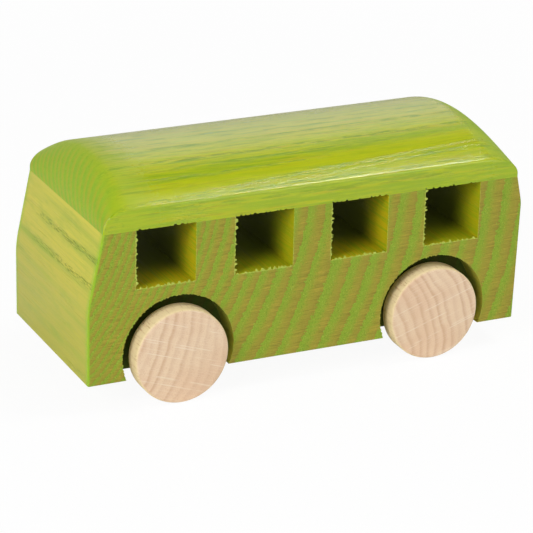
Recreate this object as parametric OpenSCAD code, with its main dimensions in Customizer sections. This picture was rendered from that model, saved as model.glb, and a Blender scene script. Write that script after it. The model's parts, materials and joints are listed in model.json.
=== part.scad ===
// Wooden toy bus: a slotted hardwood block with a glued domed roof, rolling on
// two dowel axles that carry plain turned wheels.
// +X is the front of the bus, +Y its left side, +Z up. The origin is on the
// ground, under the middle of the bus.

/* [Body block] */
// Overall length of the bus
body_l = 147; // [120:1:180]
// Width across the flat sides
body_w = 62; // [54:1:70]
// Height of the block, from the underside to the roof joint
block_h = 48; // [46:0.1:54]
// Gap between the ground and the underside
clearance = 8.6; // [6:0.1:10]
// Height above the underside where the front starts to lean back
front_break_h = 24.2; // [20:0.1:28]
// Backward lean of the windscreen area, in degrees
front_lean = 11.7; // [6:0.1:15]
// Radius that blends the upright front into the lean
front_blend_r = 36; // [20:1:50]
// Outward rake of the rear face, in degrees
rear_rake = 1.5; // [0.5:0.1:2.5]
// Forward lean of the rear face under the roof, in degrees
rear_lean = 12; // [6:0.5:15]
// Radius that blends the rear rake into the lean
rear_blend_r = 12; // [8:1:20]
// Height below the roof joint where the rear starts to lean
rear_break_h = 10; // [8:0.5:14]

/* [Windows] */
// Number of windows cut through the block
window_count = 4; // [2:1:4]
// Length of one window opening
window_l = 19.5; // [14:0.1:20]
// Height of one window opening
window_h = 18.8; // [14:0.1:19.5]
// Length of the block ahead of the first window and behind the last one
end_post_l = 15.3; // [12:0.1:20]

/* [Roof] */
// Height of the roof's flat sides above the joint
roof_side_h = 6.9; // [5:0.1:9]
// Rise of the dome above the top of the sides
roof_rise = 8.8; // [5:0.1:12]
// Height of the roof's upright ends above the joint
roof_end_h = 1; // [0.5:0.1:2]
// Length over which the front of the roof rounds off
roof_front_round = 9.5; // [6:0.5:16]
// Length over which the rear of the roof rounds off
roof_rear_round = 12.5; // [6:0.5:16]

/* [Wheels] */
// Diameter of a wheel
wheel_d = 30.4; // [28:0.1:32]
// Thickness of a wheel
wheel_t = 7; // [6:0.1:8]
// Rounding of a wheel's rims
wheel_edge_r = 1; // [0.5:0.1:2]
// How far a centred wheel stands out from the side of the block
wheel_out = 2.9; // [2:0.1:4]
// Distance from the front of the bus back to the front axle
front_overhang = 29.4; // [25:0.1:35]
// Distance from the rear of the bus forward to the rear axle
rear_overhang = 30.6; // [25:0.1:35]
// Side play of the wheelsets, the front one to the left, the rear one to the right
side_play = 0.7; // [0:0.1:1.5]
// Room round a wheel in its recess
arch_gap = 3.2; // [2:0.1:4]
// Height of a recess's centre above its axle
arch_lift = 0.6; // [0:0.1:1]
// Room behind a centred wheel in its recess
back_gap = 4.6; // [2:0.1:6]

/* [Axles] */
// Diameter of an axle dowel
axle_d = 6; // [5:0.5:7]
// Running clearance round an axle in the block, on the radius
run_clearance = 0.1; // [0.05:0.01:0.1]
// Glue clearance round an axle in a wheel, on the radius
glue_clearance = 0.05; // [0.02:0.01:0.08]
// Wood left between the axle hole and the outer face of a wheel
wheel_skin = 2; // [1.5:0.1:3]

/* [Hidden] */
stain_green = [0.55, 0.66, 0.22];
stain_lime = [0.64, 0.70, 0.26];
beech_face = [0.90, 0.79, 0.66];
beech_dowel = [0.86, 0.72, 0.55];
// Extra length of every cut past the faces that it opens
overrun = 1;
// Steps in each blend of the side outline, in each roof end and across the dome
blend_steps = 6;
end_steps = 12;
dome_steps = 32;
$fn = 96;

half_l = body_l / 2;
half_w = body_w / 2;
joint_z = clearance + block_h;

// Centres of the two blends in the side outline
front_blend = [half_l - front_blend_r,
               clearance + front_break_h - front_blend_r * tan(front_lean / 2)];
rear_blend = [rear_blend_r - half_l, joint_z - rear_break_h];
// Ends of the blends, and the corners of the outline that their tangents reach
front_blend_top = front_blend + front_blend_r * [cos(front_lean), sin(front_lean)];
rear_blend_top = rear_blend + rear_blend_r * [-cos(rear_lean), sin(rear_lean)];
rear_blend_foot = rear_blend - rear_blend_r * [cos(rear_rake), sin(rear_rake)];
front_joint_x = front_blend_top.x - (joint_z - front_blend_top.y) * tan(front_lean);
rear_joint_x = rear_blend_top.x + (joint_z - rear_blend_top.y) * tan(rear_lean);
rear_foot_x = rear_blend_foot.x + (rear_blend_foot.y - clearance) * tan(rear_rake);

// Windows run up to the roof joint, so the roof board closes their tops
window_z = joint_z - window_h;
first_window_x = end_post_l - half_l;
window_pitch = (body_l - 2 * end_post_l - window_l) / (window_count - 1);

wheel_r = wheel_d / 2;
front_axle_x = half_l - front_overhang;
rear_axle_x = rear_overhang - half_l;
arch_depth = wheel_t - wheel_out + back_gap;
wheel_outer_y = half_w + wheel_out;
axle_bore_r = axle_d / 2 + run_clearance;
wheel_bore_r = axle_d / 2 + glue_clearance;
axle_l = 2 * (wheel_outer_y - wheel_skin);

dome_r = (half_w * half_w + roof_rise * roof_rise) / (2 * roof_rise);
roof_end_z = joint_z + roof_end_h;
crown_z = joint_z + roof_side_h + roof_rise;

// Points on an arc round a centre, both ends included
function arc(centre, r, from, to) =
    [for (i = [0 : blend_steps])
        let (a = from + (to - from) * i / blend_steps)
        centre + r * [cos(a), sin(a)]];

// Height of the dome at a distance y from the middle of the bus
function dome_z(y) = crown_z - dome_r + sqrt(dome_r * dome_r - y * y);

// Share of the dome's height that is left at a share of the way into a rounded end
function end_rise(share) = sqrt(1 - (1 - share) * (1 - share));

// One cross-section of the roof, from its lower right corner round to its lower left one
function roof_section(x, share) =
    concat(
        [[x, -half_w, joint_z]],
        [for (i = [0 : dome_steps])
            let (y = body_w * i / dome_steps - half_w)
            [x, y, roof_end_z + (dome_z(y) - roof_end_z) * end_rise(share)]],
        [[x, half_w, joint_z]]);

// Upright board outline of the block, seen from its right side
module side_outline() {
    polygon(concat(
        [[rear_foot_x, clearance], [half_l, clearance]],
        arc(front_blend, front_blend_r, 0, front_lean),
        [[front_joint_x, joint_z], [rear_joint_x, joint_z]],
        arc(rear_blend, rear_blend_r, 180 - rear_lean, 180 + rear_rake)));
}

// Lies a cylinder's axis along the width of the bus, centred at an axle
module across(x) {
    translate([x, 0, wheel_r])
        rotate([90, 0, 0])
            children();
}

module window_cuts() {
    for (i = [0 : window_count - 1])
        translate([first_window_x + i * window_pitch, -half_w - overrun, window_z])
            cube([window_l, body_w + 2 * overrun, window_h + overrun]);
}

// The two wheel recesses and the axle bore of one axle
module axle_cuts(x) {
    across(x) {
        cylinder(r = axle_bore_r, h = body_w, center = true);
        for (side = [-1, 1])
            translate([0, arch_lift, side * (half_w - arch_depth / 2 + overrun / 2)])
                cylinder(r = wheel_r + arch_gap, h = arch_depth + overrun, center = true);
    }
}

module body_block() {
    color(stain_green)
        difference() {
            rotate([90, 0, 0])
                linear_extrude(body_w, center = true)
                    side_outline();
            window_cuts();
            axle_cuts(front_axle_x);
            axle_cuts(rear_axle_x);
        }
}

module roof_board() {
    steps = [for (i = [0 : end_steps]) 1 - cos(90 * i / end_steps)];
    sections = concat(
        [for (share = steps) roof_section(rear_joint_x + roof_rear_round * share, share)],
        [for (i = [end_steps : -1 : 0]) roof_section(front_joint_x - roof_front_round * steps[i], steps[i])]);
    ring = len(sections[0]);
    last = len(sections) - 1;
    color(stain_lime)
        polyhedron(
            points = [for (section = sections) each section],
            faces = concat(
                [[for (j = [0 : ring - 1]) j]],
                [[for (j = [ring - 1 : -1 : 0]) last * ring + j]],
                [for (i = [0 : last - 1])
                    for (j = [0 : ring - 1])
                        let (a = i * ring + j, b = i * ring + (j + 1) % ring)
                        each [[a, a + ring, b], [b, a + ring, b + ring]]]));
}

// A dowel across the bus, moved sideways by its side play
module axle(x, play) {
    color(beech_dowel)
        translate([0, play, 0])
            across(x)
                cylinder(d = axle_d, h = axle_l, center = true);
}

// Half section of a wheel, from its axis outwards and from its inner face up
module wheel_section() {
    square([wheel_r - wheel_edge_r, wheel_t]);
    translate([0, wheel_edge_r])
        square([wheel_r, wheel_t - 2 * wheel_edge_r]);
    for (z = [wheel_edge_r, wheel_t - wheel_edge_r])
        translate([wheel_r - wheel_edge_r, z])
            circle(wheel_edge_r);
}

// One wheel with its blind axle hole: side is 1 on the left and -1 on the right
module wheel(x, side, play) {
    color(beech_face)
        translate([x, play + side * (wheel_outer_y - wheel_t), wheel_r])
            rotate([-90 * side, 0, 0])
                difference() {
                    rotate_extrude()
                        wheel_section();
                    translate([0, 0, -overrun])
                        cylinder(r = wheel_bore_r, h = wheel_t - wheel_skin + overrun);
                }
}

module front_axle() axle(front_axle_x, side_play);
module rear_axle() axle(rear_axle_x, -side_play);
module front_left_wheel() wheel(front_axle_x, 1, side_play);
module front_right_wheel() wheel(front_axle_x, -1, side_play);
module rear_left_wheel() wheel(rear_axle_x, 1, -side_play);
module rear_right_wheel() wheel(rear_axle_x, -1, -side_play);

body_block();
roof_board();
front_axle();
rear_axle();
front_left_wheel();
front_right_wheel();
rear_left_wheel();
rear_right_wheel();
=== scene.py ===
import json
import math
import random
import bpy
import bmesh
from mathutils import Matrix, Vector


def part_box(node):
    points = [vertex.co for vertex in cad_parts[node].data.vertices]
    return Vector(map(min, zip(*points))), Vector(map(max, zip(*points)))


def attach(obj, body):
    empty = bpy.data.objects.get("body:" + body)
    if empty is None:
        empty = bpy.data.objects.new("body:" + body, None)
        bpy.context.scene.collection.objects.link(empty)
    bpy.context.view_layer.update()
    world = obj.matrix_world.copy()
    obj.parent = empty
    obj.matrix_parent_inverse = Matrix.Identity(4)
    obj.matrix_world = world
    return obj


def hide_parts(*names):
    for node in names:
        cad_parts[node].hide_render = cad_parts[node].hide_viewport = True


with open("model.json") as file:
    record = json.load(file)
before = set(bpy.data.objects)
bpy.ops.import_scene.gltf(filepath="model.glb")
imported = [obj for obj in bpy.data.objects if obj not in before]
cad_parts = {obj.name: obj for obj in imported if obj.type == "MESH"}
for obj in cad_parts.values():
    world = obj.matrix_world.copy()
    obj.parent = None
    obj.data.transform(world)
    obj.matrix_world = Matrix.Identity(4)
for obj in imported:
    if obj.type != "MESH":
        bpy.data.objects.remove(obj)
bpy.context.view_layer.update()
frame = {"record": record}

mm = 0.001
hair = 0.1 * mm
sharpEdge = 0.5   # radians between the two faces at an edge
joints = {joint["name"]: joint for joint in frame["record"]["behaviour"]["joints"]}
windowBoxes = [opening["box_m"] for opening in frame["record"]["physics"]["openings"]]


# small helpers for modelling
def deselectAll():
    bpy.ops.object.select_all(action="DESELECT")


def startPiece(name):
    piece = bpy.context.object
    piece.name = name
    piece.data.name = name
    return piece


def useAlone(piece):
    deselectAll()
    piece.select_set(True)
    bpy.context.view_layer.objects.active = piece


def editing(piece, mode="VERT"):
    useAlone(piece)
    bpy.ops.object.mode_set(mode="EDIT")
    bpy.ops.mesh.select_mode(type=mode)
    return bmesh.from_edit_mesh(piece.data)


def doneEditing():
    bpy.ops.object.mode_set(mode="OBJECT")


# selects the elements of one kind that pass a test, and nothing else
def pick(shape, elements, test):
    for element in list(shape.verts) + list(shape.edges) + list(shape.faces):
        element.select = False
    for element in elements:
        if test(element):
            element.select_set(True)
    shape.select_flush_mode()


def middle(edge):
    return (edge.verts[0].co + edge.verts[1].co) / 2


def settle(piece, angle):
    useAlone(piece)
    bpy.ops.object.transform_apply(location=True, rotation=True, scale=True)
    bpy.ops.object.shade_smooth_by_angle(angle=math.radians(angle))


def carve(piece, cutter):
    useAlone(piece)
    cut = piece.modifiers.new("carve", "BOOLEAN")
    cut.operation = "DIFFERENCE"
    cut.solver = "MANIFOLD"
    cut.object = cutter
    bpy.ops.object.modifier_apply(modifier=cut.name)
    bpy.data.objects.remove(cutter)


def dress(piece, body, node, material):
    piece.data.materials.clear()
    piece.data.materials.append(material)
    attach(piece, body)
    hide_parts(node)


# a shader value: arithmetic on it adds Math nodes, and add brings in any other node
class Strand:
    def __init__(self, tree, socket=None):
        self.tree = tree
        self.socket = socket

    def add(self, kind, settings=None, sockets=None, out=0):
        node = self.tree.nodes.new("ShaderNode" + kind)
        for name, value in (settings or {}).items():
            if name == "stops":
                ramp = node.color_ramp
                while len(ramp.elements) < len(value):
                    ramp.elements.new(1.0)
                for element, (place, colour) in zip(ramp.elements, value):
                    element.position = place
                    element.color = colour
            else:
                setattr(node, name, value)
        for name, value in (sockets or {}).items():
            if isinstance(value, Strand):
                self.tree.links.new(value.socket, node.inputs[name])
            else:
                node.inputs[name].default_value = value
        return Strand(self.tree, node.outputs[out] if len(node.outputs) else None)

    def math(self, operation, first, second=0.0):
        return self.add("Math", {"operation": operation}, {0: first, 1: second})

    def __add__(self, other):
        return self.math("ADD", self, other)

    def __radd__(self, other):
        return self.math("ADD", other, self)

    def __sub__(self, other):
        return self.math("SUBTRACT", self, other)

    def __rsub__(self, other):
        return self.math("SUBTRACT", other, self)

    def __mul__(self, other):
        return self.math("MULTIPLY", self, other)

    def __rmul__(self, other):
        return self.math("MULTIPLY", other, self)

    def __truediv__(self, other):
        return self.math("DIVIDE", self, other)

    def __rtruediv__(self, other):
        return self.math("DIVIDE", other, self)

    def __pow__(self, other):
        return self.math("POWER", self, other)

    def __abs__(self):
        return self.math("ABSOLUTE", self)

    def low(self, other):
        return self.math("MINIMUM", self, other)

    def high(self, other):
        return self.math("MAXIMUM", self, other)

    # 0 below start, 1 above end, smooth between: start may be the larger one
    def fade(self, start, end):
        if start < end:
            return self.step(start, end)
        return 1 - self.step(end, start)

    def step(self, start, end):
        return self.add("MapRange", {"interpolation_type": "SMOOTHSTEP"},
                        {"Value": self, "From Min": start, "From Max": end})

    def tint(self, under, over):
        return self.add("Mix", {"data_type": "RGBA"}, {0: self, 6: under, 7: over}, 2)

    def blend(self, under, over):
        return self.add("Mix", None, {0: self, 2: under, 3: over}, 0)

    def ramp(self, stops):
        return self.add("ValToRGB", {"stops": stops}, {"Fac": self}, "Color")


def paint(red, green, blue):
    def linear(value):
        share = value / 255
        return share / 12.92 if share <= 0.04045 else ((share + 0.055) / 1.055) ** 2.4
    return (linear(red), linear(green), linear(blue), 1.0)


# an empty material, and the strand that its nodes are added through
def startMaterial(name):
    material = bpy.data.materials.new(name)
    material.use_nodes = True
    material.node_tree.nodes.clear()
    return material, Strand(material.node_tree)


# the place on a piece in millimetres
def spot(root, shift=(0, 0, 0)):
    place = root.add("TexCoord", out="Object")
    scaled = root.add("VectorMath", {"operation": "SCALE"}, {"Vector": place, "Scale": 1 / mm})
    moved = root.add("Mapping", {"vector_type": "POINT"}, {"Vector": scaled, "Location": shift})
    return [root.add("SeparateXYZ", None, {"Vector": moved}, axis) for axis in "XYZ"]


# how far the surface faces along the bus, and across it
def facing(root):
    normal = root.add("TexCoord", out="Normal")
    return [abs(root.add("SeparateXYZ", None, {"Vector": normal}, axis)) for axis in "XY"]


def vector(root, x, y, z):
    return root.add("CombineXYZ", None, {"X": x, "Y": y, "Z": z})


def noise(root, place, size, detail=2.0, rough=0.5):
    return root.add("TexNoise", None,
                    {"Vector": place, "Scale": size, "Detail": detail, "Roughness": rough}, 0)


# heights are in millimetres
def finishMaterial(root, colour, roughness, height, gloss):
    bump = root.add("Bump", None, {"Height": height, "Distance": mm, "Strength": 1.0}, "Normal")
    shader = root.add("BsdfPrincipled", None,
                      {"Base Color": colour, "Roughness": roughness, "Normal": bump, "IOR": 1.5,
                       "Specular IOR Level": gloss}, "BSDF")
    root.add("OutputMaterial", None, {"Surface": shader})


# ash: ring-porous wood, so each ring starts with open pores and ends in dense wood.
# Rings are of one pitch near the core and far out, and widen steadily in between
def ashPattern(root, along, sideways, upright, rings):
    bend = noise(root, vector(root, along * 0.12, sideways, upright), 0.03, 1.0)
    shake = noise(root, vector(root, along * 0.15, sideways, upright), 0.9, 3.0)
    reach = ((sideways - rings["centre"][0]) ** 2.0 + (upright - rings["centre"][1]) ** 2.0) ** 0.5
    reach = reach + (bend - 0.5) * rings["bend"] + (shake - 0.5) * rings["shake"]
    inner, outer, core = rings["inner"], rings["outer"], rings["core"]
    growth = rings["innerPitch"] / (inner - core)
    between = reach.high(inner).low(outer) - core
    widening = root.math("LOGARITHM", between, math.e) - math.log(inner - core)
    count = (reach.low(inner) - inner) / rings["innerPitch"]
    count = count + widening / growth
    count = count + (reach.high(outer) - outer) / rings["outerPitch"]
    number = root.math("FLOOR", count)
    luck = root.add("TexWhiteNoise", {"noise_dimensions": "1D"}, {"W": number}, "Value")
    age = root.math("FRACT", count) ** (0.75 + luck * 0.6)
    tubes = vector(root, along * 0.022, sideways, upright)
    pores = root.add("TexVoronoi", None, {"Vector": tubes, "Scale": rings["pores"]}, "Distance")
    fibres = noise(root, vector(root, along * 0.05, sideways, upright), 1.6, 3.0, 0.6)
    return {"age": age, "luck": luck, "pores": pores, "fibres": fibres}


blockLook = {
    "rings": {"centre": (138.5, 78.0), "bend": 3.5, "shake": 1.0, "inner": 97.0, "outer": 145.0,
              "core": 69.4, "innerPitch": 2.3, "outerPitch": 6.3, "pores": 1.7},
    "early": paint(134, 168, 42), "turning": paint(141, 164, 44), "late": paint(157, 153, 48),
    "dense": paint(159, 147, 50), "edge": paint(148, 132, 46),
    "sawPale": paint(184, 160, 56), "sawDark": paint(132, 122, 38), "pore": paint(92, 130, 26),
    "plank": paint(191, 184, 72), "plankGreen": paint(152, 174, 58),
    "plankPore": paint(112, 132, 14), "plankPale": paint(206, 198, 76),
    # the deep-wall and recess colours are painted shade; the corner colour is the worn corners' green,
    # also laid on as a painted highlight
    "wall": paint(196, 178, 14), "wallGreen": paint(160, 172, 16), "wallDeep": paint(114, 120, 26),
    "pocket": paint(52, 72, 10), "torn": paint(186, 204, 88), "corner": paint(146, 192, 30),
    "streakHeights": ((47.5, 1.0), (39.6, 1.0), (31.2, 0.5), (27.0, 0.4), (22.3, 0.4), (15.4, 0.5)),
    "crackFrom": 0.9, "crackSide": (-24.0, -10.0), "paleFrom": (26.0, 50.0), "greenFrom": (34.0, 14.0),
    "deepFrom": (5.0, 19.0), "gloss": 0.3}


def stainedAsh(block):
    look = blockLook
    material, root = startMaterial("stainedAsh")
    x, y, z = spot(root)
    facesY = facing(root)[1]
    grain = ashPattern(root, y, x, z, look["rings"])
    endGrain = facesY.fade(0.45, 0.8)

    # sawn end grain: green open pores, tan dense wood, fine marks of the saw along the bus
    grit = noise(root, vector(root, x, y * 0.1, z), 2.4, 2.0, 0.6)
    fray = noise(root, vector(root, x, y * 0.1, z), 0.8, 3.0, 0.7)
    age = root.math("FRACT", grain["age"] + (grit - 0.5) * 0.4 + (fray - 0.5) * 0.35 + 1.0)
    colour = age.ramp([(0.0, look["early"]), (0.3, look["turning"]), (0.58, look["late"]),
                       (0.86, look["dense"]), (1.0, look["edge"])])
    dense = age.fade(0.35, 0.7)
    saw = noise(root, vector(root, x * 0.05, 0.0, z + x * 0.03), 2.3, 2.0, 0.7)
    colour = (saw.fade(0.52, 0.66) * (0.15 + dense * 0.55)).tint(colour, look["sawPale"])
    colour = (saw.fade(0.48, 0.34) * (0.1 + dense * 0.6)).tint(colour, look["sawDark"])
    openPores = grain["pores"].fade(0.3, 0.12) * (1 - dense * 0.7)
    colour = (openPores * 0.6).tint(colour, look["pore"])
    colour = (grit.fade(0.56, 0.72) * (1 - dense * 0.6) * 0.35).tint(colour, look["torn"])
    colour = (grit.fade(0.42, 0.28) * 0.35).tint(colour, look["pore"])

    # long grain on the front, the rear and the underside, with two rows of open cracks
    streak = noise(root, vector(root, y * 0.02, x, z), 0.16, 3.0, 0.6)
    wisps = noise(root, vector(root, y * 0.05, x, z), 1.1, 3.0, 0.65)
    plank = z.fade(*look["paleFrom"]).tint(look["plank"], look["plankPale"])
    foot = z.fade(*look["greenFrom"])
    plank = (streak.fade(0.48, 0.72) * 0.6 + foot * 0.12).tint(plank, look["plankGreen"])
    plank = (wisps.fade(0.5, 0.7) * 0.3).tint(plank, look["plankGreen"])
    mottle = noise(root, vector(root, y * 0.3, x, z), 0.22, 3.0, 0.6)
    plank = (mottle.fade(0.5, 0.7) * 0.35).tint(plank, look["plankGreen"])
    strokes = noise(root, vector(root, y * 0.07, x, z + y * 0.03), 1.9, 3.0, 0.65)
    splits = noise(root, vector(root, y * 0.1, x, z + y * 0.03), 3.0, 3.0, 0.65)
    wander = (noise(root, vector(root, y * 0.04, 0.0, 0.0), 1.0, 2.0) - 0.5) * 2.4
    slits = strokes.fade(0.64, 0.72) * 0.25
    for height, strength in look["streakHeights"]:
        away = abs(z - height - wander - y * 0.02)
        breaks = noise(root, vector(root, y * 0.05, height, 0.0), 1.0, 2.0)
        sheaf = away.fade(2.2, 0.3) * breaks.fade(0.35, 0.6)
        plank = (sheaf * strokes.fade(0.3, 0.55) * strength * 0.7).tint(plank, look["plankGreen"])
        if strength > look["crackFrom"]:
            crack = away.fade(1.3, 0.6) * splits.fade(0.5, 0.57) * y.fade(*look["crackSide"])
            slits = slits.high(crack)
    plank = (slits * 0.7).tint(plank, look["plankPore"])

    # walls of the windows take more stain, greener in every second window, and painted shade darkens
    # them deeper in
    pitch = block["windowPitch"]
    windowX = abs(abs(abs(x) - pitch) - pitch / 2) - block["windowL"] / 2
    windowZ = abs(z - block["windowZ"]) - block["windowH"] / 2
    windowGap = windowX.high(windowZ)
    greener = root.math("LESS_THAN", root.math("FRACT", x / (2 * pitch) + 1.0), 0.5)
    wall = (greener * 0.4).tint(look["wall"], look["wallGreen"])
    wall = grain["fibres"].fade(0.42, 0.62).tint(wall, look["wallGreen"])
    sideDepth = block["halfW"] - abs(y)
    # painted shade: the window walls darken towards the middle of the block
    wall = sideDepth.fade(*look["deepFrom"]).tint(wall, look["wallDeep"])
    inside = abs(windowGap).fade(0.5, 0.2)
    plank = inside.tint(plank, wall)
    colour = endGrain.tint(plank, colour)

    # torn fibres round the windows and the wheel recesses
    tear = noise(root, vector(root, x, y * 0.3, z), 1.3, 3.0, 0.7)
    rim = (windowGap - (tear - 0.5) * 1.1).fade(0.2, -0.05) * windowGap.fade(-1.4, -0.9)
    frontWheel = ((x - block["frontX"]) ** 2.0 + (z - block["archZ"]) ** 2.0) ** 0.5
    rearWheel = ((x - block["rearX"]) ** 2.0 + (z - block["archZ"]) ** 2.0) ** 0.5
    archGap = frontWheel.low(rearWheel) - block["archR"]
    arch = (archGap - (tear - 0.5) * 1.2).fade(0.12, -0.1) * archGap.fade(-0.6, -0.3)
    torn = rim.high(arch * 0.35) * endGrain
    colour = (torn * 0.85).tint(colour, look["torn"])

    # painted shade darkens the insides of the recesses; the worn corners are brighter, partly their own
    # colour and partly a painted highlight
    pocket = archGap.fade(0.15, -0.15) * sideDepth.fade(0.6, 5.0)
    pocket = pocket * sideDepth.fade(block["archDepth"] + 0.4, block["archDepth"] + 0.1)
    colour = (pocket * 0.85).tint(colour, look["pocket"])
    frontDepth = block["frontX0"] - (z - block["breakZ"]).high(0.0) * block["leanSlope"] - x
    # a painted highlight along the front vertical corners, over the worn corners' own brighter green;
    # the corners are glossier too
    corner = (sideDepth + frontDepth).fade(0.9, 0.3)
    edging = sideDepth.fade(3.0, 0.4) * (1 - endGrain) * frontDepth.fade(0.5, 0.2)
    colour = (corner * 0.8).high(edging * 0.55).tint(colour, look["corner"])
    shade = 0.93 + grain["fibres"] * 0.14
    grey = root.add("CombineColor", None, {"Red": shade, "Green": shade, "Blue": shade})
    colour = root.add("Mix", {"data_type": "RGBA", "blend_type": "MULTIPLY"},
                      {0: 1.0, 6: colour, 7: grey}, 2)

    roughness = 0.5 + endGrain * 0.22 - corner * 0.3 + (grain["fibres"] - 0.5) * 0.2
    height = (saw - 0.5) * 0.05 * endGrain - openPores * 0.07 - slits * (1 - endGrain) * 0.025
    height = height + (tear - 0.5) * torn * 0.35 + (grain["fibres"] - 0.5) * 0.06
    finishMaterial(root, colour, roughness, height, look["gloss"])
    return material


roofLook = {
    "rings": {"centre": (-140.0, -15.0), "bend": 3.0, "shake": 0.8, "inner": 120.0, "outer": 150.0,
              "core": 0.0, "innerPitch": 2.6, "outerPitch": 2.9, "pores": 1.6},
    "lime": paint(186, 196, 10), "middle": paint(181, 184, 14), "green": paint(144, 176, 14),
    "tan": paint(184, 168, 18), "endGreen": paint(138, 178, 22), "endTan": paint(174, 170, 30),
    "pore": paint(104, 144, 6), "shoulder": paint(152, 182, 14), "limeSide": (15.0, 5.0),
    "openRow": (59.0, 30.3, 0.0626), "secondRow": 1.9, "sinkFrom": (47.0, 60.0), "rearSink": 11.0,
    "polish": (20.0, -30.0), "gloss": 0.5}


def lacqueredAsh():
    look = roofLook
    material, root = startMaterial("lacqueredAsh")
    x, y, z = spot(root)
    facesX, facesY = facing(root)
    grain = ashPattern(root, x, y, z, look["rings"])
    streak = noise(root, vector(root, x * 0.02, y, z), 0.22, 4.0, 0.6)
    ridges = noise(root, vector(root, x * 0.06, y, z), 2.2, 4.0, 0.75)
    dashes = noise(root, vector(root, x * 0.07, y, z), 1.6, 4.0, 0.7)
    bands = noise(root, vector(root, x * 0.04, y, z), 0.8, 3.0, 0.65)
    colour = y.fade(*look["limeSide"]).tint(look["lime"], look["middle"])
    colour = (bands.fade(0.48, 0.34) * 0.4 + ridges.fade(0.48, 0.36) * 0.4).tint(colour, look["tan"])
    colour = (bands.fade(0.5, 0.64) * 0.45 + ridges.fade(0.53, 0.65) * 0.4).tint(colour, look["green"])
    rows = grain["age"].fade(0.0, 0.08) * grain["age"].fade(0.55, 0.2) * (0.5 + grain["luck"] * 0.5)

    # the grain runs slantwise to the arris: a green belt, then a clear lane of lime
    startX, startY, slope = look["openRow"]
    lane = y + (startX - x) * slope - startY
    drift = lane + (bands - 0.5) * 5.0
    belt = drift.fade(-10.5, -8.5) * drift.fade(-4.9, -6.2)
    colour = (belt * bands.fade(0.35, 0.6) * 0.5).tint(colour, look["green"])
    clear = drift.fade(-5.4, -3.8) * lane.fade(-0.4, -1.2)
    colour = (clear * 0.45).tint(colour, look["lime"])
    slits = dashes.fade(0.46, 0.57) * (0.3 + rows * 0.7) * (1 - clear * 0.65)
    colour = (slits * 0.85).tint(colour, look["pore"])

    # two rows of open pores run off to the arris beside it and break the lacquer
    secondRow = abs(lane - look["secondRow"]).fade(0.6, 0.2)
    broken = abs(lane).fade(0.9, 0.25).high(secondRow * 0.8)
    flecks = (noise(root, vector(root, x * 0.28, y, z), 2.2, 2.0, 0.6) - 0.5) * broken
    colour = (flecks.fade(0.04, 0.14) * 0.5).tint(colour, look["pore"])
    strip = facesY.fade(0.6, 0.95)
    colour = (strip * (0.1 + bands.fade(0.4, 0.6) * 0.5)).tint(colour, look["green"])

    # end grain at the rounded ends, where the lacquer sinks in
    mottle = noise(root, vector(root, x, y, z), 0.5, 3.0, 0.6)
    turned = facesX + (mottle - 0.5) * 0.4 * facesX.fade(0.0, 0.2)
    outward = x.high(-look["rearSink"] - x) + (mottle - 0.5) * 12.0 + (ridges - 0.5) * 6.0
    sunken = outward.fade(*look["sinkFrom"])
    shoulder = (turned.fade(0.02, 0.3) * facesX.fade(0.02, 0.1)).high(sunken * 0.8)
    colour = (shoulder * 0.5).tint(colour, look["shoulder"])
    endGrain = turned.fade(0.1, 0.95) * facesY.fade(0.7, 0.35)
    ends = grain["age"].ramp([(0.0, look["endGreen"]), (0.35, look["endGreen"]),
                              (0.7, look["endTan"]), (0.9, look["endTan"]), (1.0, look["endGreen"])])
    ringShow = facesX.fade(0.3, 0.72) * (0.5 + mottle.fade(0.35, 0.6) * 0.5)
    ends = ringShow.tint(look["endGreen"], ends)
    ends = (grain["pores"].fade(0.3, 0.1) * 0.35).tint(ends, look["pore"])
    ends = (mottle.fade(0.45, 0.65) * 0.5).tint(ends, look["shoulder"])
    colour = endGrain.tint(colour, ends)
    dull = turned.fade(0.0, 0.4).high(sunken * 0.8)
    roughness = 0.2 + dull * 0.38 + (ridges - 0.5) * 0.14 + slits * 0.06
    arris = facesY.fade(0.45, 0.6) * facesY.fade(0.97, 0.85) * facesX.fade(0.5, 0.2)
    cornerEdge = facesX.fade(0.25, 0.5) * facesY.fade(0.25, 0.5)
    polish = arris * x.fade(*look["polish"])
    roughness = roughness - cornerEdge * 0.36 - broken * 0.12 - polish * 0.1
    height = (ridges - 0.5) * 0.04 - slits * 0.02 - flecks * 0.22 + (streak - 0.5) * 0.06
    finishMaterial(root, colour, roughness, height, look["gloss"])
    return material


beechLook = {
    "face": paint(237, 210, 178), "ring": paint(208, 166, 130), "pink": paint(232, 200, 168),
    "ray": paint(244, 228, 206), "rim": paint(238, 216, 170), "fleck": paint(196, 152, 104),
    "dowel": paint(226, 194, 150), "dowelFleck": paint(186, 142, 98),
    "ringPitch": 3.0, "ringBow": 0.012, "rayGap": 0.26, "fineGap": 1.3, "gloss": 0.35}


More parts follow.
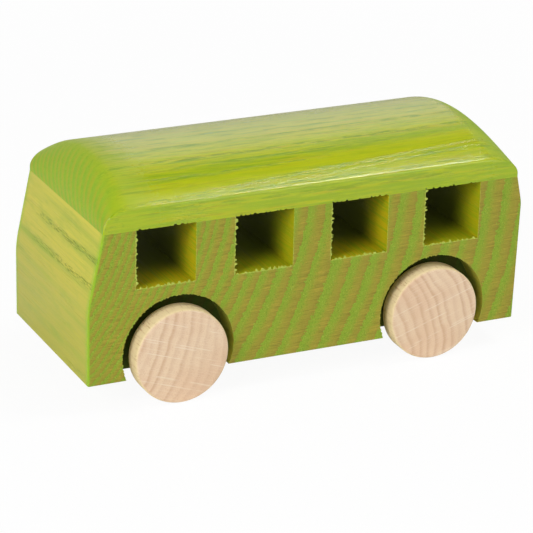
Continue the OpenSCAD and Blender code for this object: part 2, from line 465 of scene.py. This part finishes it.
# beech: end grain on the faces, long grain round the rim, each wheel cut from its own stretch of rod
def bareBeech(name, turn, shift, axlePlace):
    look = beechLook
    material, root = startMaterial(name)
    centre = tuple(-value / mm for value in axlePlace)
    x, y, z = spot(root, centre)
    facesY = facing(root)[1]
    # across the rings, and along the rings
    reach = x * math.cos(turn) + z * math.sin(turn)
    lift = z * math.cos(turn) - x * math.sin(turn)
    bend = noise(root, vector(root, x + shift, y * 0.1, z), 0.06, 2.0)
    shake = noise(root, vector(root, x + shift, y * 0.2, z), 0.5, 3.0)
    bowed = reach - lift ** 2.0 * look["ringBow"] + (bend - 0.5) * 5.0 + (shake - 0.5) * 0.4 + shift
    count = bowed / look["ringPitch"]
    number = root.math("FLOOR", count)
    luck = root.add("TexWhiteNoise", {"noise_dimensions": "1D"}, {"W": number}, "Value")
    age = root.math("FRACT", count)
    specks = noise(root, vector(root, x, y * 0.08, z), 3.4, 2.0, 0.7)
    ring = age.fade(0.3, 0.85) * age.fade(1.0, 0.8) * (0.2 + luck * 0.8)
    ring = ring + age.fade(0.0, 0.9) * 0.15
    colour = bend.fade(0.4, 0.7).tint(look["face"], look["pink"])
    colour = (ring * 0.62).tint(colour, look["ring"])
    colour = (specks.fade(0.5, 0.7) * 0.45).tint(colour, look["ring"])
    across = lift * look["rayGap"] + (shake - 0.5) * 0.05 + shift
    rays = root.add("TexVoronoi", {"voronoi_dimensions": "1D"}, {"W": across, "Scale": 1.0}, "Distance")
    across = lift * look["fineGap"] + (shake - 0.5) * 0.1 + shift
    fine = root.add("TexVoronoi", {"voronoi_dimensions": "1D"}, {"W": across, "Scale": 1.0}, "Distance")
    patch = noise(root, vector(root, reach * 0.15, shift, lift * 0.5), 1.0, 2.0)
    lines = rays.fade(0.06, 0.02).high(fine.fade(0.16, 0.05) * 0.4) * patch.fade(0.4, 0.58)
    colour = (lines * 0.6).tint(colour, look["ray"])
    endGrain = facesY.fade(0.5, 0.97)
    flecks = noise(root, vector(root, x, y * 0.12, z), 1.8, 4.0, 0.7).fade(0.5, 0.72)
    side = (flecks * 0.65).tint(look["rim"], look["fleck"])
    colour = endGrain.tint(side, colour)
    roughness = 0.62 + (specks - 0.5) * 0.25
    height = (specks - 0.5) * 0.05 - ring * 0.01 - flecks * 0.03
    finishMaterial(root, colour, roughness, height, look["gloss"])
    return material


def dowelBeech():
    look = beechLook
    material, root = startMaterial("dowelBeech")
    x, y, z = spot(root)
    flecks = noise(root, vector(root, x, y * 0.1, z), 2.2, 3.0, 0.6)
    colour = flecks.fade(0.5, 0.72).tint(look["dowel"], look["dowelFleck"])
    finishMaterial(root, colour, 0.6 + (flecks - 0.5) * 0.2, (flecks - 0.5) * 0.06, look["gloss"])
    return material


# the block: side outline leaning at the front, raked at the rear
blockShape = {
    "breakH": 24.2 * mm, "frontLean": math.radians(11.7), "frontBlend": 36 * mm,
    "rearRake": math.radians(1.5), "rearLean": math.radians(12), "rearBlend": 12 * mm,
    "rearBreakH": 10 * mm, "blendSteps": 6,
    "corner": 0.5 * mm, "cornerSteps": 4, "foot": 0.3 * mm, "footSteps": 3,
    "windowMargin": 0.5 * mm, "windowSteps": 60, "flap": 0.35 * mm, "flapStep": mm / 20,
    "tooth": 1.2 * mm, "sillShare": 0.8, "slip": 0.3, "cornerRoom": 0.7,
    "archR": 18.4 * mm, "archDepth": 8.7 * mm, "archLift": 0.6 * mm, "archSteps": 480,
    "archTooth": 0.6 * mm, "archLeast": 0.25, "archTornSide": math.radians(50),
    "boreR": 3.1 * mm, "boreSides": 64, "overrun": 1 * mm, "seed": 11, "smooth": 25}


def frontX(z, low, high):
    shape = blockShape
    lean, blend = shape["frontLean"], shape["frontBlend"]
    arcZ = low.z + shape["breakH"] - blend * math.tan(lean / 2)
    topZ = arcZ + blend * math.sin(lean)
    if z <= arcZ:
        return high.x
    if z <= topZ:
        return high.x - blend + math.sqrt(blend ** 2 - (z - arcZ) ** 2)
    return high.x - blend * (1 - math.cos(lean)) - (z - topZ) * math.tan(lean)


def rearX(z, low, high):
    shape = blockShape
    rake, lean, blend = shape["rearRake"], shape["rearLean"], shape["rearBlend"]
    arcZ = high.z - shape["rearBreakH"]
    footZ = arcZ - blend * math.sin(rake)
    topZ = arcZ + blend * math.sin(lean)
    if z < footZ:
        return low.x + blend * (1 - math.cos(rake)) + (footZ - z) * math.tan(rake)
    if z <= topZ:
        return low.x + blend - math.sqrt(blend ** 2 - (z - arcZ) ** 2)
    return low.x + blend * (1 - math.cos(lean)) + (z - topZ) * math.tan(lean)


# pushes the selected end of a cutter onto a new outline
def reshape(shape, outline, y):
    end = [face for face in shape.faces if face.select][0]
    for vert, (x, z) in zip(end.verts, outline):
        vert.co = Vector((x, y, z))


# a cutter through one or both sides, ragged where it breaks through a face
def raggedCutter(stations):
    count = len(stations[0][1])
    deselectAll()
    bpy.ops.mesh.primitive_circle_add(vertices=count, radius=mm, fill_type="NGON")
    cutter = startPiece("cutter")
    shape = editing(cutter, "FACE")
    bpy.ops.mesh.select_all(action="SELECT")
    reshape(shape, stations[0][1], stations[0][0])
    for y, outline in stations[1:]:
        bpy.ops.mesh.extrude_region_move()
        reshape(bmesh.from_edit_mesh(cutter.data), outline, y)
    bpy.ops.mesh.select_all(action="SELECT")
    bpy.ops.mesh.normals_make_consistent(inside=False)
    bpy.ops.mesh.quads_convert_to_tris()   # bent faces would leave slivers
    doneEditing()
    return cutter


# torn fibres along an edge: short runs of teeth, then a cleaner stretch
tearing = {
    "tooth": (0.15, 1.0), "share": (0.6, 1.0), "teeth": (1, 3), "fuzz": (0.0, 0.15), "calm": (1, 4)}


def tornRun(count, draw):
    reach = []
    while len(reach) < count:
        tooth = draw.uniform(*tearing["tooth"])
        teeth = draw.randint(*tearing["teeth"])
        reach += [tooth * draw.uniform(*tearing["share"]) for step in range(teeth)]
        calm = draw.randint(*tearing["calm"])
        reach += [draw.uniform(*tearing["fuzz"]) for step in range(calm)]
    return reach[:count]


def windowOutline(low, high, topZ, ragged, draw):
    shape = blockShape
    steps = shape["windowSteps"]
    tooth = shape["tooth"] if ragged else 0.0
    sill = tooth * shape["sillShare"]
    sides = [(Vector((high.x, low.z)), Vector((high.x, topZ)), Vector((-1, 0)), tooth),
             (Vector((high.x, topZ)), Vector((low.x, topZ)), Vector((0, 0)), 0.0),
             (Vector((low.x, topZ)), Vector((low.x, low.z)), Vector((1, 0)), 0.0),
             (Vector((low.x, low.z)), Vector((high.x, low.z)), Vector((0, 1)), sill)]
    points = []
    for start, end, inward, depth in sides:
        for step, reach in enumerate(tornRun(steps, draw)):
            slip = draw.uniform(-shape["slip"], shape["slip"]) if step and depth else 0.0
            place = start.lerp(end, (step + slip) / steps)
            # teeth shrink towards the corners
            room = min((place - start).length, (place - end).length) * shape["cornerRoom"]
            points.append(tuple(place + inward * min(depth * reach, room)))
    return points


def archOutline(centre, ragged, draw):
    shape = blockShape
    count, least = shape["archSteps"], shape["archLeast"]
    points = []
    for step, reach in enumerate(tornRun(count, draw)):
        angle = 2 * math.pi * step / count
        against = max(0, math.cos(angle - shape["archTornSide"]))
        tooth = shape["archTooth"] * (least + (1 - least) * against)
        radius = shape["archR"] - (tooth * reach if ragged else 0.0)
        points.append((centre.x + radius * math.cos(angle), centre.z + radius * math.sin(angle)))
    return points


def makeBlock():
    shape = blockShape
    low, high = [Vector(corner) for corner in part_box("body_block")]
    draw = random.Random(shape["seed"])
    deselectAll()
    bpy.ops.mesh.primitive_cube_add(size=1, location=(low + high) / 2)
    block = startPiece("greenBlock")
    block.scale = high - low
    bpy.ops.object.transform_apply(location=True, rotation=True, scale=True)
    steps = [step / shape["blendSteps"] for step in range(shape["blendSteps"] + 1)]
    arcZ = low.z + shape["breakH"] - shape["frontBlend"] * math.tan(shape["frontLean"] / 2)
    levels = [arcZ + shape["frontBlend"] * math.sin(shape["frontLean"] * step) for step in steps]
    arcZ = high.z - shape["rearBreakH"]
    sweep = shape["rearRake"] + shape["rearLean"]
    levels += [arcZ + shape["rearBlend"] * math.sin(sweep * step - shape["rearRake"]) for step in steps]
    editing(block)
    for level in levels:
        bpy.ops.mesh.select_all(action="SELECT")
        bpy.ops.mesh.bisect(plane_co=(0, 0, level), plane_no=(0, 0, 1))
    mesh = bmesh.from_edit_mesh(block.data)
    for vert in mesh.verts:
        vert.co.x = frontX(vert.co.z, low, high) if vert.co.x > 0 else rearX(vert.co.z, low, high)
    # worn corners, then the softer foot
    bpy.ops.mesh.select_mode(type="EDGE")
    halfW = high.y
    pick(mesh, mesh.edges, lambda edge: abs(middle(edge).y) > halfW - hair
         and abs(edge.verts[0].co.z - edge.verts[1].co.z) > hair and edge.calc_face_angle(0) > sharpEdge)
    bpy.ops.mesh.bevel(offset=shape["corner"], segments=shape["cornerSteps"], profile=0.5)
    mesh = bmesh.from_edit_mesh(block.data)
    pick(mesh, mesh.edges, lambda edge: middle(edge).z < low.z + hair
         and edge.calc_face_angle(0) > sharpEdge)
    bpy.ops.mesh.bevel(offset=shape["foot"], segments=shape["footSteps"], profile=0.5)
    doneEditing()

    # windows, then the wheel recesses and the bore of each axle
    out = shape["overrun"]
    margin = shape["windowMargin"]
    flap = halfW - shape["flap"]
    flapFoot = flap - shape["flapStep"]
    topZ = high.z + out
    for boxLow, boxHigh in windowBoxes:
        windowLow = Vector((boxLow[0] - margin, 0, boxLow[2] - margin))
        windowHigh = Vector((boxHigh[0] + margin, 0, boxHigh[2] + margin))
        clean = windowOutline(windowLow, windowHigh, topZ, False, draw)
        near = windowOutline(windowLow, windowHigh, topZ, True, draw)
        far = windowOutline(windowLow, windowHigh, topZ, True, draw)
        carve(block, raggedCutter([(halfW + out, near), (flap, near), (flapFoot, clean),
                                   (-flapFoot, clean), (-flap, far), (-halfW - out, far)]))
    floorY = halfW - shape["archDepth"]
    for joint in joints.values():
        centre = Vector(joint["pos_m"])
        archCentre = centre + Vector((0, 0, shape["archLift"]))
        for side in (1, -1):
            torn = archOutline(archCentre, True, draw)
            clean = archOutline(archCentre, False, draw)
            carve(block, raggedCutter([(side * (halfW + out), torn), (side * flap, torn),
                                       (side * flapFoot, clean), (side * floorY, clean)]))
        deselectAll()
        bpy.ops.mesh.primitive_cylinder_add(
            vertices=shape["boreSides"], radius=shape["boreR"], depth=2 * halfW,
            location=(centre.x, 0, centre.z), rotation=(math.pi / 2, 0, 0))
        carve(block, bpy.context.object)
    settle(block, shape["smooth"])

    # the sizes that the material follows, in millimetres
    frontJoint, rearJoint = [Vector(joints[name]["pos_m"]) for name in ("front_roll", "rear_roll")]
    boxLow, boxHigh = windowBoxes[-2]
    nextLow = windowBoxes[-1][0]
    sizes = {"windowPitch": (nextLow[0] - boxLow[0]) / mm,
             "windowL": (boxHigh[0] - boxLow[0] + 2 * margin) / mm,
             "windowH": (boxHigh[2] - boxLow[2] + 2 * margin) / mm,
             "windowZ": (boxHigh[2] + boxLow[2]) / 2 / mm,
             "frontX": frontJoint.x / mm, "rearX": rearJoint.x / mm,
             "archZ": (frontJoint.z + shape["archLift"]) / mm, "archR": shape["archR"] / mm,
             "archDepth": shape["archDepth"] / mm, "halfW": halfW / mm,
             "frontX0": high.x / mm, "breakZ": (low.z + shape["breakH"]) / mm,
             "leanSlope": math.tan(shape["frontLean"])}
    dress(block, "body", "body_block", stainedAsh(sizes))
    print("block:", len(block.data.polygons), "faces")


# the roof: a dome across the bus that dies away at both rounded ends
roofShape = {
    "sideH": 6.9 * mm, "endH": 1.0 * mm, "frontRound": 9.5 * mm, "rearRound": 12.5 * mm,
    "alongSteps": 150, "acrossSteps": 72, "arris": 0.6 * mm, "corner": 0.5 * mm,
    "windowMargin": 0.5 * mm, "tooth": 0.8 * mm, "unbroken": 0.2, "tearDepth": 1.8 * mm,
    "tearSteps": 60, "overrun": 1 * mm, "seed": 23, "smooth": 40}


# splinters torn out of the roof's lower edge over one window
def tearOutline(lowX, highX, seamZ, draw):
    shape = roofShape
    steps = shape["tearSteps"]
    below = seamZ - shape["overrun"]
    points = [(lowX, below), (highX, below)]
    for step, reach in enumerate(tornRun(steps + 1, draw)):
        tooth = shape["tooth"] * (reach - shape["unbroken"])
        points.append((highX + (lowX - highX) * step / steps, seamZ + tooth))
    return points


# how far a rounded edge has fallen away at some distance in from the side
def easing(inset, radius):
    share = max(0, 1 - inset / radius)
    return radius * (1 - math.sqrt(1 - share ** 2))


def makeRoof():
    shape = roofShape
    low, high = [Vector(corner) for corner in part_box("roof_board")]
    halfW = high.y
    centreX = (low.x + high.x) / 2
    rise = high.z - low.z - shape["sideH"]
    domeR = (halfW ** 2 + rise ** 2) / (2 * rise)
    endZ = low.z + shape["endH"]
    deselectAll()
    bpy.ops.mesh.primitive_grid_add(x_subdivisions=shape["alongSteps"],
                                    y_subdivisions=shape["acrossSteps"], size=2)
    roof = startPiece("domedRoof")
    mesh = editing(roof)
    for vert in mesh.verts:
        x = centreX + math.sin(vert.co.x * math.pi / 2) * (high.x - low.x) / 2
        y = math.sin(vert.co.y * math.pi / 2) * halfW
        dome = high.z - domeR + math.sqrt(domeR ** 2 - y ** 2)
        share = min(1, (high.x - x) / shape["frontRound"], (x - low.x) / shape["rearRound"])
        rounding = math.sqrt(max(0, 1 - (1 - share) ** 2))
        inset = halfW - abs(y)
        drop = easing(inset, shape["arris"]) * rounding
        shrink = easing(inset, shape["corner"]) / (high.x - low.x) * 2
        x = centreX + (x - centreX) * (1 - shrink)
        vert.co = Vector((x, y, endZ + (dome - endZ) * rounding - drop))
    bpy.ops.mesh.select_mode(type="EDGE")
    pick(mesh, mesh.edges, lambda edge: edge.is_boundary)
    bpy.ops.mesh.extrude_region_move()
    mesh = bmesh.from_edit_mesh(roof.data)
    for vert in mesh.verts:
        if vert.select:
            vert.co.z = low.z
    bpy.ops.mesh.edge_face_add()
    bpy.ops.mesh.select_all(action="SELECT")
    bpy.ops.mesh.normals_make_consistent(inside=False)
    doneEditing()
    draw = random.Random(shape["seed"])
    margin = shape["windowMargin"]
    for boxLow, boxHigh in windowBoxes:
        for side in (1, -1):
            torn = tearOutline(boxLow[0] - margin, boxHigh[0] + margin, low.z, draw)
            carve(roof, raggedCutter([(side * (halfW + shape["overrun"]), torn),
                                      (side * (halfW - shape["tearDepth"]), torn)]))
    settle(roof, shape["smooth"])
    dress(roof, "body", "roof_board", lacqueredAsh())
    print("roof:", len(roof.data.polygons), "faces")


# wheels: slices of round rod with softened rims and a blind hole for the axle
wheelShape = {
    "sides": 144, "rimR": 1.0 * mm, "rimSteps": 6, "holeR": 3.05 * mm, "skin": 2.0 * mm,
    "smooth": 35,
    "wheels": {"front_left_wheel": ("front_wheelset", 0.33, 3.1),
               "front_right_wheel": ("front_wheelset", -0.5, 47.0),
               "rear_left_wheel": ("rear_wheelset", -0.33, 21.7),
               "rear_right_wheel": ("rear_wheelset", 0.8, 66.0)}}


def makeWheel(node, body, turn, shift):
    shape = wheelShape
    low, high = [Vector(corner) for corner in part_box(node)]
    centre = (low + high) / 2
    side = 1 if centre.y > 0 else -1
    radius = (high.z - low.z) / 2
    thick = high.y - low.y
    deselectAll()
    bpy.ops.mesh.primitive_cylinder_add(vertices=shape["sides"], radius=radius, depth=thick,
                                        location=centre, rotation=(math.pi / 2, 0, 0))
    wheel = startPiece(node.replace("_wheel", "Disc").replace("_l", "L").replace("_r", "R"))
    bpy.ops.object.transform_apply(location=True, rotation=True, scale=True)
    mesh = editing(wheel, "EDGE")
    pick(mesh, mesh.edges, lambda edge: edge.calc_face_angle(0) > sharpEdge)
    bpy.ops.mesh.bevel(offset=shape["rimR"], segments=shape["rimSteps"], profile=0.5)
    bpy.ops.mesh.select_mode(type="FACE")
    mesh = bmesh.from_edit_mesh(wheel.data)
    pick(mesh, mesh.faces, lambda face: face.normal.y * side < 0 and len(face.verts) == shape["sides"])
    bpy.ops.mesh.inset(thickness=radius - shape["rimR"] - shape["holeR"])
    holeMove = (0, side * (thick - shape["skin"]), 0)
    bpy.ops.mesh.extrude_region_move(TRANSFORM_OT_translate={"value": holeMove})
    doneEditing()
    settle(wheel, shape["smooth"])
    axlePlace = joints[body.replace("wheelset", "roll")]["pos_m"]
    material = bareBeech(node.replace("_wheel", "_beech"), turn, shift, axlePlace)
    dress(wheel, body, node, material)


# axles: plain dowels with chamfered ends
axleShape = {
    "sides": 64, "chamfer": 0.5 * mm, "chamferSteps": 2, "smooth": 35,
    "axles": {"front_axle": "front_wheelset", "rear_axle": "rear_wheelset"}}


def makeAxle(node, body, material):
    shape = axleShape
    low, high = [Vector(corner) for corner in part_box(node)]
    deselectAll()
    bpy.ops.mesh.primitive_cylinder_add(
        vertices=shape["sides"], radius=(high.z - low.z) / 2, depth=high.y - low.y,
        location=(low + high) / 2, rotation=(math.pi / 2, 0, 0))
    axle = startPiece(node.replace("_axle", "Dowel"))
    bpy.ops.object.transform_apply(location=True, rotation=True, scale=True)
    mesh = editing(axle, "EDGE")
    pick(mesh, mesh.edges, lambda edge: edge.calc_face_angle(0) > sharpEdge)
    bpy.ops.mesh.bevel(offset=shape["chamfer"], segments=shape["chamferSteps"], profile=0.5)
    doneEditing()
    settle(axle, shape["smooth"])
    dress(axle, body, node, material)


makeBlock()
makeRoof()
for wheelNode, (wheelBody, wheelTurn, wheelShift) in wheelShape["wheels"].items():
    makeWheel(wheelNode, wheelBody, wheelTurn, wheelShift)
print("wheels:", len(wheelShape["wheels"]))
dowel = dowelBeech()
for axleNode, axleBody in axleShape["axles"].items():
    makeAxle(axleNode, axleBody, dowel)
print("axles:", len(axleShape["axles"]))


# studio: white floor that keeps the shadow, soft boxes, and a white surround
studio = {
    "floor": 6.0, "floorColour": (0.98, 0.98, 0.98, 1.0), "farColour": (0.7, 0.7, 0.7, 1.0),
    "nearR": 200.0, "farR": 600.0, "floorGlow": 0.94,
    "surround": 0.26, "dip": 0.24, "dipStart": (0.06, 0.24), "dipEnd": (0.64, 0.48),
    "sideDip": 0.2, "sideStart": (-0.5, -0.6), "ceiling": 0.06, "ceilingStart": (0.65, 0.77),
    "target": (0, 0, 0.03),
    "boxes": {"keyBox": ((0.95, 0.5, 0.6), 0.6, 8.4), "topBox": ((-0.48, 0.14, 1.06), 0.3, 4.0),
              "fillBox": ((-0.6, 0.9, 0.35), 0.7, 2.4), "backBox": ((-0.33, -0.72, 0.52), 0.45, 0.45)}}


def makeStudio():
    deselectAll()
    bpy.ops.mesh.primitive_plane_add(size=studio["floor"])
    floor = startPiece("studioFloor")
    material, root = startMaterial("studioFloor")
    x, y = spot(root)[:2]
    away = (x ** 2.0 + y ** 2.0) ** 0.5
    far = away.fade(studio["nearR"], studio["farR"])
    tone = far.tint(studio["floorColour"], studio["farColour"])
    card = root.add("BsdfDiffuse", None, {"Color": tone}, "BSDF")
    glow = root.add("Emission", None, {"Color": (1, 1, 1, 1), "Strength": 1.0}, "Emission")
    seen = root.add("LightPath", out="Is Camera Ray")
    white = seen * far.blend(studio["floorGlow"], 1.0)
    mixed = root.add("MixShader", None, {"Fac": white, 1: card, 2: glow}, "Shader")
    root.add("OutputMaterial", None, {"Surface": mixed})
    floor.data.materials.append(material)

    # the surround is white to the camera, and dimmer in what it lights and in reflections
    world = bpy.context.scene.world or bpy.data.worlds.new("studioSurround")
    bpy.context.scene.world = world
    world.use_nodes = True
    world.node_tree.nodes.clear()
    sky = Strand(world.node_tree)
    aim = sky.add("TexCoord", out="Generated")
    height = sky.add("SeparateXYZ", None, {"Vector": aim}, "Z")
    aside = sky.add("SeparateXYZ", None, {"Vector": aim}, "X")
    dip = height.fade(*studio["dipStart"]) * height.fade(*studio["dipEnd"])
    backdrop = 1 - dip * studio["dip"]
    backdrop = backdrop * (1 - aside.fade(*studio["sideStart"]) * studio["sideDip"])
    backdrop = height.fade(*studio["ceilingStart"]).blend(backdrop, studio["ceiling"])
    camera = sky.add("LightPath", out="Is Camera Ray")
    glossy = sky.add("LightPath", out="Is Glossy Ray")
    clear = sky.add("LightPath", out="Is Transmission Ray")
    lit = glossy * backdrop + (1 - glossy) * studio["surround"]
    strength = camera.high(clear) + (1 - camera.high(clear)) * lit
    light = sky.add("Background", None, {"Color": (1, 1, 1, 1), "Strength": strength}, "Background")
    sky.add("OutputWorld", None, {"Surface": light})

    target = Vector(studio["target"])
    for name, (place, size, power) in studio["boxes"].items():
        lamp = bpy.data.lights.new(name, "AREA")
        lamp.shape = "SQUARE"
        lamp.size = size
        lamp.energy = power
        box = bpy.data.objects.new(name, lamp)
        bpy.context.collection.objects.link(box)
        box.location = place
        box.rotation_euler = (target - Vector(place)).to_track_quat("-Z", "Y").to_euler()


# camera at the photograph's viewing angle
view = {"place": (0.33786, 0.70288, 0.33497), "yaw": -115.6466, "pitch": -21.6607, "roll": 1.44256,
        "lens": 178.45, "sensor": 36.0, "near": 0.01}


def makeCamera():
    yaw, pitch, roll = [math.radians(view[name]) for name in ("yaw", "pitch", "roll")]
    ahead = Vector((math.cos(pitch) * math.cos(yaw), math.cos(pitch) * math.sin(yaw), math.sin(pitch)))
    right = ahead.cross(Vector((0, 0, 1))).normalized()
    up = right.cross(ahead)
    tiltedRight = right * math.cos(roll) + up * math.sin(roll)
    tiltedUp = up * math.cos(roll) - right * math.sin(roll)
    lens = bpy.data.cameras.new("photoView")
    lens.sensor_width = view["sensor"]
    lens.lens = view["lens"]
    lens.clip_start = view["near"]
    camera = bpy.data.objects.new("photoView", lens)
    bpy.context.collection.objects.link(camera)
    turn = Matrix((tiltedRight, tiltedUp, -ahead)).transposed()
    camera.matrix_world = Matrix.Translation(view["place"]) @ turn.to_4x4()
    bpy.context.scene.camera = camera


makeStudio()
makeCamera()
bpy.context.scene.view_settings.view_transform = "Standard"
print("studio and camera set")
